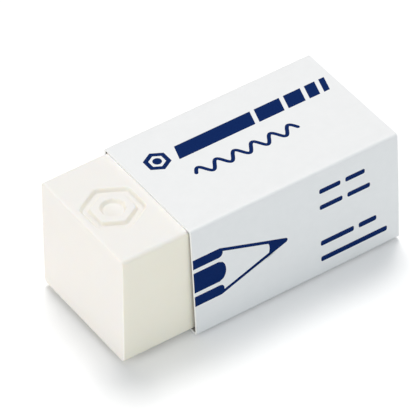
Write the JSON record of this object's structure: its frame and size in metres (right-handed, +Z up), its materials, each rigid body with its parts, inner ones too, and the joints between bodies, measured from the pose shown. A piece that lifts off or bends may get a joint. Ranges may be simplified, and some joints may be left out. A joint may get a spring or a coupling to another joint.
{
  "type": "block eraser",
  "caption": "Small soft vinyl block eraser in a folded card sleeve that slides along it, one end left bare for rubbing out pencil.",
  "frame": {"origin": "centre of the footprint, on the surface that the sleeve lies on", "axes": "+X along the bar, away from its bare end; +Y towards the unprinted long side; +Z up, out of the printed top"},
  "size_m": [0.0332, 0.0159, 0.014],
  "materials": {
    "vinyl": "off-white soft vinyl, matt with a faint sheen",
    "sleeve_card": "white coated paperboard with navy print, satin"
  },
  "bodies": {
    "block": {"eraser_block": "vinyl"},
    "sleeve": {"card_sleeve": "sleeve_card"}
  },
  "joints": [
    {"name": "sleeve_slide", "type": "slide", "parent": "block", "child": "sleeve", "axis": [1, 0, 0], "range_m": [-0.034, 0.026]}
  ]
}
